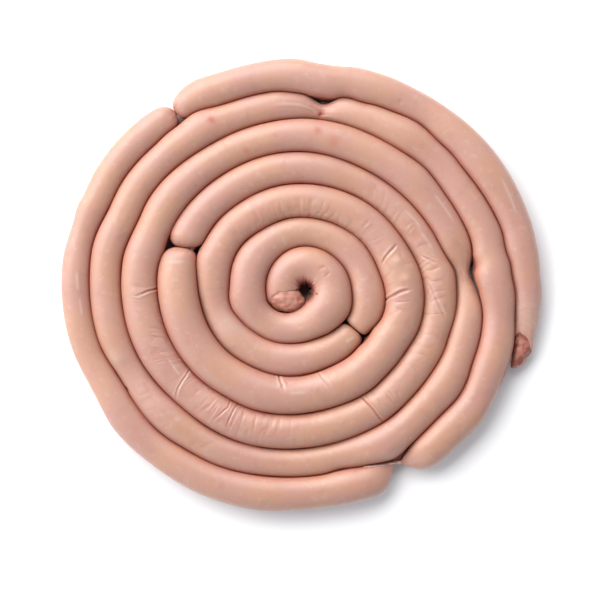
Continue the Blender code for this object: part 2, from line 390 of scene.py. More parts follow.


# A crease runs through points of (angle, section angle).  depth and width are in MM, lip is
# the height of the ridges beside it as a share of its depth, red is painted shade in the
# groove and pale a painted highlight on the ridges beside it.  A negative depth is a raised
# fold, with the painted highlight on its crest and the painted shade beside it.
Crease = namedtuple("Crease", "points depth width lip red pale")
CREASES = (
    # sharp bends of link 2 on the right of the coil
    Crease(((874.0, 60.0), (876.0, 85.0), (879.4, 118.0), (883.0, 140.0)),
           0.7, 0.8, 0.35, 0.35, 0.4),
    Crease(((900.0, 72.0), (901.5, 98.0), (904.0, 124.0), (908.7, 182.0)),
           1.1, 1.0, 0.3, 0.6, 0.5),
    # link 2 below the middle of the coil
    Crease(((1006.5, 176.0), (1005.0, 145.0), (1001.0, 106.0)), 0.8, 0.9, 0.25, 0.3, 0.8),
    Crease(((981.0, 168.0), (978.0, 124.0), (974.0, 84.0)), 0.5, 0.9, 0.25, 0.2, 0.8),
    # link 3: line with painted shade, wrinkled skin beside it, two lines, and a fold with a painted
    # highlight
    Crease(((1322.5, 170.0), (1321.0, 120.0), (1320.0, 87.0), (1319.0, 18.0)),
           1.0, 0.7, 0.4, 0.8, 0.2),
    Crease(((1384.5, 70.0), (1382.7, 121.0), (1383.5, 165.0)), 0.5, 0.6, 0.3, 0.6, 0.1),
    Crease(((1379.5, 70.0), (1380.2, 131.0), (1379.4, 165.0)), 0.5, 0.6, 0.3, 0.6, 0.1),
    Crease(((1405.6, 176.0), (1402.8, 98.0), (1399.2, 34.0)), 0.6, 0.6, 0.3, 0.5, 1.2),
    Crease(((1440.4, 176.0), (1439.3, 120.0), (1437.6, 85.0)), 0.8, 0.8, 0.4, 0.5, 0.3),
    Crease(((1257.7, 132.0), (1271.9, 70.0)), 0.5, 0.8, 0.6, 0.1, 0.4),
    Crease(((1244.0, 118.0), (1249.4, 80.0)), 0.5, 0.8, 0.6, 0.1, 0.4),
    # raised fold with a painted highlight on its crest, by the hollow where link 4 is twisted off
    Crease(((1880.0, 90.0), (1888.0, 90.0), (1893.5, 95.0), (1895.3, 135.0)),
           -0.28, 0.8, 0.2, 0.0, 0.6),
    # marks of the first link's casing
    Crease(((127.2, 92.0), (134.0, 77.0)), 0.25, 1.0, 0.4, 0.2, 0.0),
    Crease(((150.9, 93.0), (146.0, 83.0)), 0.25, 1.0, 0.4, 0.2, 0.0),
)

# Thin painted highlight lines on low edges where the casing is stretched: first and last
# angle, and section angle at either.
HIGHLIGHT_STREAKS = (
    (1583.7, 1595.9, 70.0, 67.0), (1222.0, 1232.5, 73.0, 68.0), (1233.6, 1243.0, 78.0, 71.0),
    (1404.8, 1413.0, 108.0, 112.0), (2159.5, 2164.5, 103.0, 98.0), (2153.0, 2158.0, 108.0, 107.0),
    (988.5, 998.5, 96.0, 96.0), (1091.4, 1092.6, 62.0, 108.0), (583.0, 592.0, 75.0, 84.0),
    (2310.5, 2320.5, 72.0, 80.0),
)


def highlight_streak_crease(first, last, low, high):
    """A streak as a raised fold with a painted highlight along its crest."""
    middle = (0.5 * (first + last), 0.5 * (low + high))
    return Crease(((first, low), middle, (last, high)), -0.16, 0.8, 0.0, 0.0, 1.6)


# A group of small creases side by side: angles and section angles that it covers, how
# many there are, their depth and width in MM, and how slanted they are in degrees along
# the string.
# red is painted shade in the grooves of the pleats.
Pleats = namedtuple("Pleats", "first last low high count depth width slant red seed")
PLEATS = (
    # round the eye
    Pleats(24.0, 168.0, 112.0, 214.0, 6, 0.9, 0.9, 6.0, 0.7, 11),
    Pleats(62.0, 150.0, 128.0, 214.0, 3, 1.1, 1.3, 5.0, 0.9, 21),
)

# A stretch of wrinkled casing: angles and section angles that it covers, the space
# between wrinkles and their length in MM, their depth in MM, their slant, and colour: red is
# painted shade in the wrinkle lines and pale a painted highlight on the skin between them.
Wrinkles = namedtuple("Wrinkles", "first last low high space length depth slant red pale seed")
WRINKLES = (
    # link 2: above, to the right and to the left of the middle of the coil
    Wrinkles(768.0, 872.0, 76.0, 176.0, 2.6, 11.0, 0.26, 0.10, 0.30, 0.08, 31),
    Wrinkles(870.0, 930.0, 40.0, 150.0, 4.0, 11.0, 0.24, -0.25, 0.12, 0.20, 32),
    Wrinkles(712.0, 768.0, 30.0, 150.0, 2.4, 16.0, 0.12, 0.0, 0.20, 0.05, 33),
    Wrinkles(960.0, 1010.0, 60.0, 150.0, 5.0, 12.0, 0.18, 0.2, 0.1, 0.15, 34),
    # link 3: to the right, below and to the left
    Wrinkles(1196.0, 1300.0, 60.0, 172.0, 3.2, 10.0, 0.22, -0.35, 0.12, 0.20, 35),
    Wrinkles(1304.0, 1321.0, 60.0, 172.0, 2.0, 12.0, 0.30, 0.0, 0.20, 0.30, 36),
    Wrinkles(1340.0, 1408.0, 30.0, 168.0, 2.6, 13.0, 0.20, 0.0, 0.28, 0.12, 37),
    Wrinkles(1404.0, 1446.0, 60.0, 170.0, 2.4, 9.0, 0.28, 0.35, 0.12, 0.20, 38),
    # link 1 round the eye, and the outer open end
    Wrinkles(24.0, 190.0, 106.0, 190.0, 2.2, 7.0, 0.16, 0.0, 0.22, 0.0, 39),
    Wrinkles(2339.0, 2353.0, 30.0, 172.0, 2.4, 7.0, 0.18, 0.0, 0.10, 0.30, 40),
    Wrinkles(1736.0, 1775.0, 40.0, 140.0, 4.0, 8.0, 0.18, 0.3, 0.12, 0.25, 41),
)

# A round mark or swelling: place, radius and height in MM, and colour.  red and pale are
# noted below where they are painted shade or painted highlight, and dark is painted shade
# for skin that lies down in a gap.
Spot = namedtuple("Spot", "angle section radius height red pale dark", defaults=(0.0,))
SPOTS = (
    Spot(1861.3, 81.0, 3.2, 0.0, 0.85, 0.0),
    Spot(1535.0, 74.0, 3.4, 0.0, 0.75, 0.0),
    Spot(1541.5, 100.0, 5.0, 0.0, 0.55, 0.0),
    Spot(1507.5, 109.0, 3.0, 0.0, 0.5, 0.0),
    Spot(1169.5, 126.0, 0.9, 0.0, 0.8, 0.0),
    Spot(1483.9, 124.0, 0.9, 0.0, 0.8, 0.0),
    Spot(1461.1, 136.0, 0.9, 0.0, 0.8, 0.0),
    Spot(1196.1, 125.0, 0.9, 0.0, 0.8, 0.0),
    Spot(2277.2, 104.0, 1.5, -0.4, 0.3, 0.0),
    Spot(595.1, 147.0, 1.2, 0.0, 0.9, 0.0),
    # a swelling with a painted highlight, and a notch with painted shade in it
    Spot(1779.5, 70.0, 6.0, 0.9, 0.0, 0.6),
    Spot(1770.5, 22.0, 1.7, -1.6, 0.9, 0.0),
    # a nick with painted shade in it
    Spot(201.3, 142.0, 1.1, -1.3, 1.0, 0.0, 0.8),
    # the wall of the eye bulges in low down, and it is coloured with painted shade
    Spot(95.0, 205.0, 6.0, 2.6, 1.0, 0.0),
    Spot(145.0, 205.0, 6.0, 3.6, 1.0, 0.0),
    Spot(192.0, 205.0, 6.5, 4.0, 1.0, 0.0, 0.5),
    Spot(232.0, 205.0, 6.0, 3.0, 1.0, 0.0, 1.0),
    Spot(255.0, 205.0, 6.0, 2.8, 1.0, 0.0, 1.0),
    # painted shade on the inner side of the first turn, round the eye
    Spot(52.0, 148.0, 6.0, 0.0, 0.9, 0.0, 0.30),
    Spot(85.0, 152.0, 6.0, 0.0, 0.9, 0.0, 0.30),
    Spot(125.0, 160.0, 5.0, 0.0, 0.8, 0.0, 0.1),
    # beside the twists the next turn bulges in low down, coloured with painted shade
    Spot(938.5, 207.0, 4.5, 2.6, 1.0, 0.0, 1.0),
    Spot(218.0, 333.0, 4.0, 1.6, 1.0, 0.0, 1.0),
    Spot(1973.0, 207.0, 7.0, 2.8, 1.0, 0.0, 1.0),
    Spot(2256.0, 212.0, 6.0, 2.6, 1.0, 0.0, 1.0),
    Spot(1680.5, 333.0, 8.0, 6.6, 1.0, 0.0, 1.0),
    Spot(1854.0, 333.0, 5.0, 2.6, 1.0, 0.0, 1.0),
    Spot(695.0, 95.0, 9.0, 0.2, 0.0, 0.5),
    # painted shade in the hollow where link 4 is twisted off
    Spot(1896.2, 112.0, 2.2, -0.8, 0.9, 0.0),
    # paler casing at the outer end: partly its own lighter colour and partly painted light on its
    # shaded side
    Spot(2347.0, 70.0, 15.0, 0.0, 0.0, 0.6),
    # swellings beside the creases of link 2, with a painted highlight
    Spot(883.9, 85.0, 3.2, 0.6, 0.0, 0.3),
    Spot(894.6, 80.0, 3.4, 0.7, 0.0, 0.3),
)

# Painted shade: redder skin towards the groove between two turns, dark skin down in it, and a dark
# inner wall of the eye up to an angle.
CONTACT_SHADE_RED = 0.95
CONTACT_SHADE_DARK = 0.70
EYE_SHADE_TO = 285.0
SWELL = ((34.0, 0.22), (13.0, 0.12), (5.0, 0.03))
FEATURE_REACH = 5.0 * MM
# A wrinkle lies where noise crosses zero, within this share of its height.
WRINKLE_LINE = 0.20


def pleat_creases(group):
    """The creases of a group, with uneven places, lengths and depths."""
    rng = np.random.default_rng(group.seed)
    creases = []
    for index in range(group.count):
        share = (index + 0.5 + 0.7 * (rng.random() - 0.5)) / group.count
        angle = group.first + (group.last - group.first) * share
        spread = group.high - group.low
        low = group.low + spread * 0.45 * rng.random()
        slant = group.slant * (rng.random() - 0.5)
        bow = 0.5 * group.slant * (rng.random() - 0.5)
        points = ((angle - slant, low), (angle + bow, 0.5 * (low + group.high)),
                  (angle + slant, group.high))
        strength = 0.35 + 0.65 * rng.random()
        width = group.width * (0.7 + 0.6 * rng.random())
        creases.append(Crease(points, group.depth * strength, width, 0.5,
                              group.red * strength, 0.0))
    return creases


CROSS_CREASES = [*CREASES, *(crease for group in PLEATS for crease in pleat_creases(group))]
ALL_CREASES = [*CROSS_CREASES, *(highlight_streak_crease(*streak) for streak in HIGHLIGHT_STREAKS)]


class Skin:
    """Rings of skin along the string, with the fields that shape and colour them."""

    def __init__(self, walked, share, shift, ahead):
        self.walked = walked
        self.angle = angle_at(walked)
        self.share = share
        self.shift = shift
        self.section = SECTION_ANGLES
        shape = (len(walked), len(self.section))
        self.ahead = np.broadcast_to(ahead, shape)
        self.lift = np.zeros(shape)
        self.red = np.zeros(shape)
        self.pale = np.zeros(shape)
        self.dark = np.zeros(shape)
        self.place()

    def place(self):
        """Points of the plain skin, before anything is moved."""
        rise = HEIGHT_OVER_WIDTH * np.interp(self.angle, ANGLES, RISE)[:, None]
        across, up = section_shape(self.section)
        share = np.clip(self.share, 1e-4, 1.0)[:, None]
        angle = angle_at(self.walked[:, None] + self.ahead)
        outer = np.interp(angle, ANGLES, OUTER_HALF) + TOUCH
        inner = np.interp(angle, ANGLES, INNER_HALF) + TOUCH
        width = np.where(across[None, :] > 0.0, outer, inner) * share
        radius = np.interp(angle, ANGLES, CREST) - self.shift[:, None] + width * across[None, :]
        turn = np.radians(angle)
        tall = rise + rise * share * up[None, :]
        half = np.interp(self.angle, ANGLES, HALF)
        self.points = np.stack([-radius * np.cos(turn) - CENTRE[0],
                                radius * np.sin(turn) - CENTRE[1], tall], axis=-1)
        self.half = half
        self.girth = np.radians(self.section)[None, :] * half[:, None]

    def normals(self):
        along = np.gradient(self.points, axis=0)
        around = np.roll(self.points, -1, axis=1) - np.roll(self.points, 1, axis=1)
        normal = np.cross(around, along)
        size = np.linalg.norm(normal, axis=-1, keepdims=True)
        return normal / np.maximum(size, 1e-15)

    def rows_near(self, low, high):
        near = (self.walked > low - FEATURE_REACH) & (self.walked < high + FEATURE_REACH)
        return np.nonzero(near)[0]

    def add_crease(self, crease):
        places = np.array([walked_at(angle) for angle, section in crease.points])
        rows = self.rows_near(places.min(), places.max())
        if len(rows) == 0:
            return
        scale = float(np.mean(self.half[rows]))
        knots = np.array([(place, math.radians(section) * scale)
                          for place, (angle, section) in zip(places, crease.points)])
        here = np.stack(np.broadcast_arrays(self.walked[rows, None],
                                            np.radians(self.section)[None, :] * scale), axis=-1)
        lengths = np.linalg.norm(np.diff(knots, axis=0), axis=1)
        total = lengths.sum()
        best = np.full(here.shape[:2], 1.0)
        share = np.zeros(here.shape[:2])
        before = 0.0
        for start, stop, length in zip(knots[:-1], knots[1:], lengths):
            way = (stop - start) / length
            step = np.clip((here - start) @ way, 0.0, length)
            away = np.linalg.norm(here - start - step[..., None] * way, axis=-1)
            nearer = away < best
            best = np.where(nearer, away, best)
            share = np.where(nearer, (before + step) / total, share)
            before += length
        width = crease.width * MM
        fade = smoothstep(share / 0.25) * smoothstep((1.0 - share) / 0.25)
        fade = 0.15 + 0.85 * fade
        groove = np.exp(-(best / width) ** 2)
        ridge = np.exp(-((best - 2.0 * width) / (1.1 * width)) ** 2)
        self.lift[rows] += crease.depth * MM * fade * (abs(crease.lip) * ridge - groove)
        if crease.depth < 0.0:
            groove, ridge = ridge, groove
        # painted shade in the groove and painted highlight on the ridges
        self.red[rows] += crease.red * fade * groove
        self.pale[rows] += crease.pale * fade * ridge

    def add_wrinkles(self, band):
        rows = self.rows_near(walked_at(band.first), walked_at(band.last))
        if len(rows) == 0:
            return
        along = self.walked[rows, None]
        girth = self.girth[rows]
        flat = np.stack([(along + band.slant * girth) / band.space, girth / band.length,
                         np.zeros_like(girth)], axis=-1) / MM
        wave = noise(flat, 1.0, band.seed)
        line = np.exp(-(wave / WRINKLE_LINE) ** 2)
        ease = 6.0
        angle = self.angle[rows, None]
        section = self.section[None, :]
        mask = smoothstep((angle - band.first) / ease) * smoothstep((band.last - angle) / ease)
        mask = mask * smoothstep((section - band.low) / 20.0)
        mask = mask * smoothstep((band.high - section) / 20.0)
        patch = smoothstep(0.75 + noise(self.points[rows], 8.0 * MM, band.seed + 50))
        mask = mask * patch
        self.lift[rows] += band.depth * MM * mask * (0.5 * np.abs(wave) - line)
        # painted shade in the wrinkle lines and painted highlight on the skin between them
        self.red[rows] += band.red * mask * line
        self.pale[rows] += band.pale * mask * smoothstep((np.abs(wave) - 0.25) / 0.3)

    def add_spot(self, spot):
        place = walked_at(spot.angle)
        reach = spot.radius * MM
        rows = self.rows_near(place - 2.0 * reach, place + 2.0 * reach)
        if len(rows) == 0:
            return
        girth = (np.radians(self.section)[None, :] - math.radians(spot.section))
        away = np.hypot(self.walked[rows, None] - place, girth * self.half[rows, None]) / reach
        blob = np.exp(-away ** 2)
        self.lift[rows] += spot.height * MM * blob
        # colour of the spot: dark is painted shade, and red and pale are painted shade and highlight
        # for the spots marked so
        self.red[rows] += spot.red * blob
        self.pale[rows] += spot.pale * blob
        self.dark[rows] += spot.dark * blob

    def add_end_pleats(self, end, tip, seed):
        """Lengthwise folds that run into a twist, with painted shade in their valleys and at the tip.
        """
        rng = np.random.default_rng(seed)
        away = np.abs(self.walked - tip)
        fade = np.exp(-(away / (end.reach * MM)) ** 2) * smoothstep(away / (1.5 * MM))
        turn = np.radians(self.section)
        waves = np.zeros(len(turn))
        for count in (7, 11, 16):
            waves += (0.4 + 0.6 * rng.random()) * np.cos(count * turn + 6.28 * rng.random())
        self.lift += end.pleats * MM * 0.6 * fade[:, None] * waves[None, :]
        # painted shade in the valleys of the folds and at the tip
        self.red += 0.20 * fade[:, None] * np.clip(-waves, 0.0, None)[None, :]
        self.red += end.red * np.exp(-(away / (3.0 * MM)) ** 2)[:, None]

    def add_rim(self, away):
        """Casing close to an open end lets the filling show through, and buckles a little."""
        near = np.exp(-np.clip(away, 0.0, None) / RIM_REACH)
        lumps = noise(self.points, 2.6 * MM, 95)
        self.red += 0.55 * near * (0.8 + 0.4 * lumps)
        self.lift += 0.40 * MM * near * lumps * smoothstep(away / (0.8 * MM))

    def swell(self):
        """Low unevenness of the filling."""
        for seed, (size, height) in enumerate(SWELL):
            self.lift += height * MM * noise(self.points, size * MM, 40 + seed)

    def paint_contact_shade(self):
        """Painted shade: skin made redder towards the groove between two turns, dark down in it, and
        dark on the inner wall of the eye.
        """
        across, up = section_shape(self.section)
        outer_side = 1.0 - smoothstep((self.angle - LINKS[-1].last + 360.0) / 12.0)
        side = np.where(across[None, :] > 0.0, outer_side[:, None], 1.0)
        self.red += CONTACT_SHADE_RED * side * smoothstep((np.abs(across) - 0.70) / 0.30)
        self.dark += CONTACT_SHADE_DARK * side * smoothstep((np.abs(across) - 0.94) / 0.06)
        eye = smoothstep((EYE_SHADE_TO - self.angle) / 20.0)[:, None] * (across[None, :] < 0.0)
        self.dark += eye * smoothstep((np.abs(across) - 0.78) / 0.25)

    def finish(self):
        self.points = self.points + self.normals() * self.lift[..., None]
        self.points[..., 2] = above_floor(self.points[..., 2])

    def fields(self):
        # tone holds red, pale and dark: real marks together with painted shade and painted highlight
        tone = np.stack([np.clip(self.red, 0.0, 1.0), np.clip(self.pale, 0.0, 1.0),
                         np.clip(self.dark, 0.0, 1.0), np.ones_like(self.red)], axis=-1)
        walked = np.broadcast_to(self.walked[:, None], self.girth.shape)
        grain = np.stack([walked, self.girth, np.zeros_like(self.girth)], axis=-1)
        return {"tone": ("FLOAT_COLOR", tone), "skin_place": ("FLOAT_VECTOR", grain)}


FLOOR_EASE = 0.05 * MM


def above_floor(heights):
    """Heights with everything below the floor pressed flat onto it."""
    under = np.minimum(heights - FLOOR_EASE, 0.0)
    return np.where(heights < FLOOR_EASE, FLOOR_EASE * np.exp(under / FLOOR_EASE), heights)


def ring_walk(start, stop):
    """Distances of rings between two places, closer together where there is detail."""
    fine_step = 0.25 * MM
    fine = np.arange(start, stop, fine_step)
    space = np.full(len(fine), RING_SPACE)
    for crease in CROSS_CREASES:
        places = [walked_at(angle) for angle, section in crease.points]
        near = (fine > min(places) - 3.0 * MM) & (fine < max(places) + 3.0 * MM)
        space[near] = FINE_RING_SPACE
    for band in WRINKLES:
        near = (fine > walked_at(band.first)) & (fine < walked_at(band.last))
        space[near] = np.minimum(space[near], 0.25 * band.space * MM)
    for spot in SPOTS:
        near = np.abs(fine - walked_at(spot.angle)) < 2.0 * spot.radius * MM
        space[near] = np.minimum(space[near], 0.6 * MM)
    count = np.concatenate([[0.0], np.cumsum(fine_step / space[:-1])])
    rings = np.linspace(0.0, count[-1], int(round(count[-1])) + 1)
    return np.interp(rings, count, fine)


def dome_walk(end, full):
    """Distances from a tip at which the rings of an end lie."""
    if end.blunt == SOFT:
        return np.linspace(-SOFT_OVERLAP, end.rounding * MM, DOME_RINGS)
    neck = min(end.neck * MM / full, 0.95)
    start = (1.0 - neck ** end.blunt) ** (1.0 / end.blunt)
    turn = np.linspace(0.0, 0.5 * math.pi, DOME_RINGS)
    left = np.cos(turn) ** (2.0 / end.blunt)
    return end.rounding * MM * (1.0 - left[left <= start] / start)


def end_walk(end):
    """Tip of an end, the width of the string there, and the distances of its rings."""
    full = np.interp(end.angle, ANGLES, HALF)
    away = np.sort(np.concatenate([[0.0], dome_walk(end, full), [end.rounding * MM]]))
    away = away[np.concatenate([[True], np.diff(away) > LEAST_RING_SPACE])]
    return walked_at(end.angle), full, away


def skew_ahead(walked, tip, end, across):
    """How much further along the string each side of a skewed end lies."""
    fade = np.exp(-(np.abs(walked - tip) / (end.rounding * MM)) ** 2)
    return end.skew * fade[:, None] * across[None, :]


def grid_faces(rings, around):
    """Faces of a tube of rings, with a fan to a middle point at each end."""
    ring = np.arange(rings - 1)[:, None] * around
    side = np.arange(around)[None, :]
    after = (side + 1) % around
    quads = np.stack([ring + side, ring + after, ring + around + after, ring + around + side],
                     axis=-1)
    faces = [tuple(face) for face in quads.reshape(-1, 4).tolist()]
    first = rings * around
    last = (rings - 1) * around
    for index in range(around):
        beside = (index + 1) % around
        faces.append((first, beside, index))
        faces.append((first + 1, last + index, last + beside))
    return faces


LAYER_KEYS = {"FLOAT_VECTOR": "vector", "FLOAT_COLOR": "color"}


def tube_mesh(name, points, material, fields=None):
    """A closed tube through rings of points, with a fan at each end."""
    rings, around = points.shape[:2]
    ends = np.stack([points[0].mean(axis=0), points[-1].mean(axis=0)])
    every = np.concatenate([points.reshape(-1, 3), ends])
    mesh = bpy.data.meshes.new(name)
    mesh.from_pydata(every.tolist(), [], grid_faces(rings, around))
    for label, (kind, values) in (fields or {}).items():
        layer = mesh.attributes.new(label, kind, "POINT")
        flat = np.concatenate([values.reshape(rings * around, -1),
                               values[0].mean(axis=0)[None], values[-1].mean(axis=0)[None]])
        layer.data.foreach_set(LAYER_KEYS[kind], flat.astype(np.float32).ravel())
    mesh.validate()
    mesh.shade_smooth()
    mesh.materials.append(material)
    piece = bpy.data.objects.new(name, mesh)
    bpy.context.scene.collection.objects.link(piece)
    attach(piece, "root")
    return piece


# ---------------------------------------------------------------- materials


class Nodes:
    """Short way to add and link shader nodes."""

    def __init__(self, name):
        self.material = bpy.data.materials.new(name)
        self.material.use_nodes = True
        self.tree = self.material.node_tree
        self.shader = self.tree.nodes["Principled BSDF"]

    def link(self, source, target):
        self.tree.links.new(source, target)

    def add(self, kind, **values):
        node = self.tree.nodes.new(kind)
        for key, value in values.items():
            setattr(node, key, value)
        return node

    def noise(self, vector, scale, detail=2.0, roughness=0.5, stretch=None):
        if stretch is not None:
            mapping = self.add("ShaderNodeMapping")
            mapping.inputs["Scale"].default_value = stretch
            self.link(vector, mapping.inputs["Vector"])
            vector = mapping.outputs["Vector"]
        node = self.add("ShaderNodeTexNoise")
        node.inputs["Scale"].default_value = scale
        node.inputs["Detail"].default_value = detail
        node.inputs["Roughness"].default_value = roughness
        self.link(vector, node.inputs["Vector"])
        return node.outputs["Fac"]

    def spread(self, value, low, high, to_low=0.0, to_high=1.0):
        node = self.add("ShaderNodeMapRange", interpolation_type="SMOOTHSTEP")
        node.inputs["From Min"].default_value = low
        node.inputs["From Max"].default_value = high
        node.inputs["To Min"].default_value = to_low
        node.inputs["To Max"].default_value = to_high
        self.link(value, node.inputs["Value"])
        return node.outputs["Result"]

    def math(self, operation, first, second):
        node = self.add("ShaderNodeMath", operation=operation)
        for socket, value in zip(node.inputs, (first, second)):
            if isinstance(value, float):
                socket.default_value = value
            else:
                self.link(value, socket)
        return node.outputs["Value"]

    def mix(self, share, first, second, blend="MIX"):
        node = self.add("ShaderNodeMix", data_type="RGBA", blend_type=blend)
        factor, start, stop = node.inputs[0], node.inputs[6], node.inputs[7]
        for socket, value in ((factor, share), (start, first), (stop, second)):
            if isinstance(value, (float, tuple)):
                socket.default_value = value
            else:
                self.link(value, socket)
        return node.outputs[2]

    def attribute(self, name):
        return self.add("ShaderNodeAttribute", attribute_name=name)

    def bump(self, height, strength, distance, under=None):
        node = self.add("ShaderNodeBump")
        node.inputs["Strength"].default_value = strength
        node.inputs["Distance"].default_value = distance
        self.link(height, node.inputs["Height"])
        if under is not None:
            self.link(under, node.inputs["Normal"])
        return node.outputs["Normal"]


# The red, pale and last colours are mixed in by tone: red for real marks, the filling near an open end
# and painted shade, pale for fat and painted highlight, the last for painted shade down in grooves and
# gaps.
SKIN_BASE = (0.475, 0.248, 0.192, 1.0)
SKIN_WARM = (0.495, 0.262, 0.172, 1.0)
SKIN_PALE = (0.54, 0.36, 0.30, 1.0)
SKIN_RED = (0.44, 0.115, 0.075, 1.0)
SKIN_DEEP = (0.40, 0.178, 0.128, 1.0)
SKIN_SHADE = (0.085, 0.014, 0.008, 1.0)

# Lean, mean and fatty colour of the filling: pale in the middle of the coil, dark outside.
INNER_MINCE_TONES = ((0.46, 0.19, 0.135, 1.0), (0.59, 0.285, 0.21, 1.0), (0.67, 0.43, 0.345, 1.0))
OUTER_MINCE_TONES = ((0.24, 0.060, 0.038, 1.0), (0.44, 0.17, 0.115, 1.0), (0.56, 0.30, 0.22, 1.0))


def skin_material():
    n = Nodes("skin")
    place = n.add("ShaderNodeTexCoord").outputs["Object"]
    tone = n.attribute("tone")
    split = n.add("ShaderNodeSeparateColor")
    n.link(tone.outputs["Color"], split.inputs["Color"])
    red, pale = split.outputs["Red"], split.outputs["Green"]
    grain = n.attribute("skin_place").outputs["Vector"]

    wide = n.spread(n.noise(place, 28.0, 2.0), 0.35, 0.68)
    colour = n.mix(wide, SKIN_BASE, SKIN_WARM)
    blotch = n.spread(n.noise(place, 95.0, 3.0, 0.6), 0.50, 0.78, 0.0, 0.42)
    colour = n.mix(blotch, colour, SKIN_DEEP)
    fat = n.spread(n.noise(place, 210.0, 2.0, 0.55), 0.56, 0.78, 0.0, 0.42)
    colour = n.mix(fat, colour, SKIN_PALE)
    # red: real marks and the filling near an open end, and painted shade in grooves, creases, gaps and
    # the eye
    colour = n.mix(n.math("MULTIPLY", red, 0.62), colour, SKIN_RED)
    # pale: painted highlight on ridges, folds, streaks and swellings, and paler casing at the outer end
    colour = n.mix(n.math("MULTIPLY", pale, 0.75), colour, SKIN_PALE)
    # dark: painted shade down in grooves, gaps and the eye
    colour = n.mix(n.math("MULTIPLY", split.outputs["Blue"], 0.85), colour, SKIN_SHADE)
    n.link(colour, n.shader.inputs["Base Color"])

    streak = n.noise(grain, 1.0, 3.0, 0.6, stretch=(420.0, 120.0, 1.0))
    fine = n.noise(place, 900.0, 2.0, 0.6)
    normal = n.bump(streak, 0.16, 0.4 * MM)
    normal = n.bump(fine, 0.10, 0.2 * MM, normal)
    n.link(normal, n.shader.inputs["Normal"])
    rough = n.spread(n.noise(place, 60.0, 3.0, 0.6), 0.3, 0.7, 0.50, 0.62)
    n.link(n.math("ADD", rough, n.spread(red, 0.2, 0.9, 0.0, 0.35)), n.shader.inputs["Roughness"])
    n.link(n.spread(red, 0.15, 0.8, 0.8, 0.1), n.shader.inputs["Coat Weight"])
    n.shader.inputs["Subsurface Weight"].default_value = 0.75
    n.shader.inputs["Subsurface Radius"].default_value = (1.0, 0.35, 0.22)
    n.shader.inputs["Subsurface Scale"].default_value = 3.2 * MM
    n.shader.inputs["Specular IOR Level"].default_value = 0.4
    n.shader.inputs["Coat IOR"].default_value = 1.7
    n.shader.inputs["Coat Roughness"].default_value = 0.5
    return n.material


def mince_material(name, lean, base, fatty):
    n = Nodes(name)
    place = n.add("ShaderNodeTexCoord").outputs["Object"]
    lumps = n.spread(n.noise(place, 190.0, 2.0, 0.5), 0.38, 0.64)
    colour = n.mix(lumps, lean, base)
    fat = n.spread(n.noise(place, 300.0, 2.0, 0.5), 0.60, 0.74, 0.0, 0.6)
    colour = n.mix(fat, colour, fatty)
    n.link(colour, n.shader.inputs["Base Color"])
    n.link(n.bump(n.noise(place, 520.0, 2.0, 0.5), 0.35, 0.3 * MM), n.shader.inputs["Normal"])
    rough = n.spread(n.noise(place, 400.0, 2.0, 0.5), 0.3, 0.7, 0.38, 0.55)
    n.link(rough, n.shader.inputs["Roughness"])
    n.shader.inputs["Subsurface Weight"].default_value = 0.4
    n.shader.inputs["Subsurface Radius"].default_value = (1.0, 0.35, 0.22)
    n.shader.inputs["Subsurface Scale"].default_value = 1.6 * MM
    n.shader.inputs["Coat Weight"].default_value = 0.5
    n.shader.inputs["Coat Roughness"].default_value = 0.30
    return n.material


CASING_DEEP = (0.52, 0.27, 0.21, 1.0)
CASING_PALE = (0.64, 0.42, 0.36, 1.0)


def casing_material():
    """Bare twisted casing without filling: pale, wet and half clear."""
    n = Nodes("casing")
    place = n.add("ShaderNodeTexCoord").outputs["Object"]
    tint = n.spread(n.noise(place, 260.0, 3.0, 0.6), 0.35, 0.65)
    n.link(n.mix(tint, CASING_DEEP, CASING_PALE), n.shader.inputs["Base Color"])
    n.link(n.bump(n.noise(place, 900.0, 2.0, 0.5), 0.3, 0.2 * MM), n.shader.inputs["Normal"])
    rough = n.spread(n.noise(place, 300.0, 2.0, 0.5), 0.3, 0.7, 0.25, 0.42)
    n.link(rough, n.shader.inputs["Roughness"])
    n.shader.inputs["Subsurface Weight"].default_value = 0.7
    n.shader.inputs["Subsurface Radius"].default_value = (1.0, 0.5, 0.35)
    n.shader.inputs["Subsurface Scale"].default_value = 1.5 * MM
    n.shader.inputs["Coat Weight"].default_value = 0.5
    n.shader.inputs["Coat Roughness"].default_value = 0.12
    return n.material


def floor_material():
    n = Nodes("floor")
    place = n.add("ShaderNodeTexCoord").outputs["Object"]
    tint = n.noise(place, 3.0, 2.0)
    n.link(n.mix(tint, (0.93, 0.93, 0.94, 1.0), (0.95, 0.95, 0.95, 1.0)), n.shader.inputs["Base Color"])
    n.shader.inputs["Roughness"].default_value = 0.85
    n.shader.inputs["Specular IOR Level"].default_value = 0.2
    return n.material


# ---------------------------------------------------------------- pieces

# Where the casing of the first link ends, as (section angle, angle along the string): it
# hangs down further on its outer side, in a pointed collar.
INNER_RIM = ((0.0, -18.0), (14.0, -26.0), (30.0, -22.0), (46.0, -15.0), (62.0, -14.0),
             (78.0, -11.0), (92.0, -13.0), (108.0, -9.0), (124.0, -10.0), (140.0, -3.0),
             (160.0, 8.0), (180.0, 18.0), (230.0, 4.0), (280.0, -5.0), (330.0, -10.0),
             (360.0, -18.0))
INNER_RIM_BASE = 0.0
INNER_BODY = 26.0
# Where the casing of the last link ends, in the same way.
OUTER_RIM = ((0.0, 2354.2), (30.0, 2355.0), (60.0, 2353.2), (90.0, 2352.0), (125.0, 2351.4),
             (150.0, 2352.6), (180.0, 2352.2), (240.0, 2352.0), (300.0, 2353.0),
             (360.0, 2354.2))
OUTER_RIM_BASE = 2352.0
OUTER_BODY = 2340.0
OUTER_FULL = float(np.interp(OUTER_END.angle - 8.0, ANGLES, HALF))
# The rim of the casing curls in over this length, by this share of the width.
RIM_CURL = 1.6 * MM
RIM_DROP = 0.11
RIM_RINGS = 6
